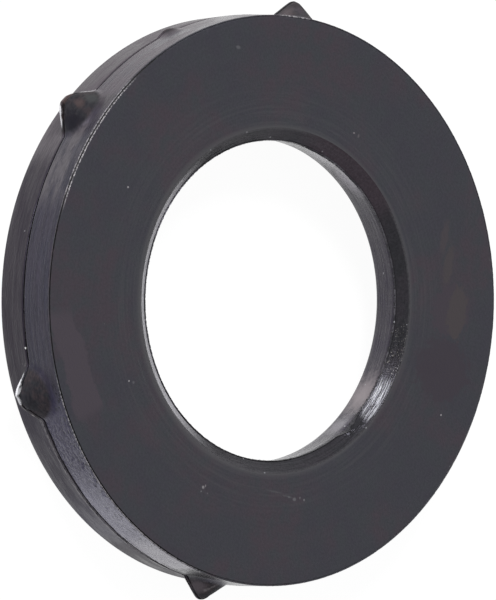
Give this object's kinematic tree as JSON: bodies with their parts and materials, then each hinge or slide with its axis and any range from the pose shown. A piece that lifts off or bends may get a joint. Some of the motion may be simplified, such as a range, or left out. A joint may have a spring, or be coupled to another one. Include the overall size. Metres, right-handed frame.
{
  "type": "rubber hose washer",
  "caption": "Moulded black rubber sealing ring with a chamfered bore, a parting line round its rim and small cone-shaped retaining nibs.",
  "frame": {"origin": "on the ring's axis, in the plane of the back face, which it lies on", "axes": "+Z along the ring's axis, from the back face to the front face with the lead-in chamfer; +X through the tip of a nib"},
  "size_m": [0.0272, 0.0256, 0.0036],
  "materials": {
    "black_rubber": "matt moulded faces with a glossier moulded rim"
  },
  "bodies": {
    "root": {"rubber_ring": "black_rubber"}
  },
  "joints": []
}
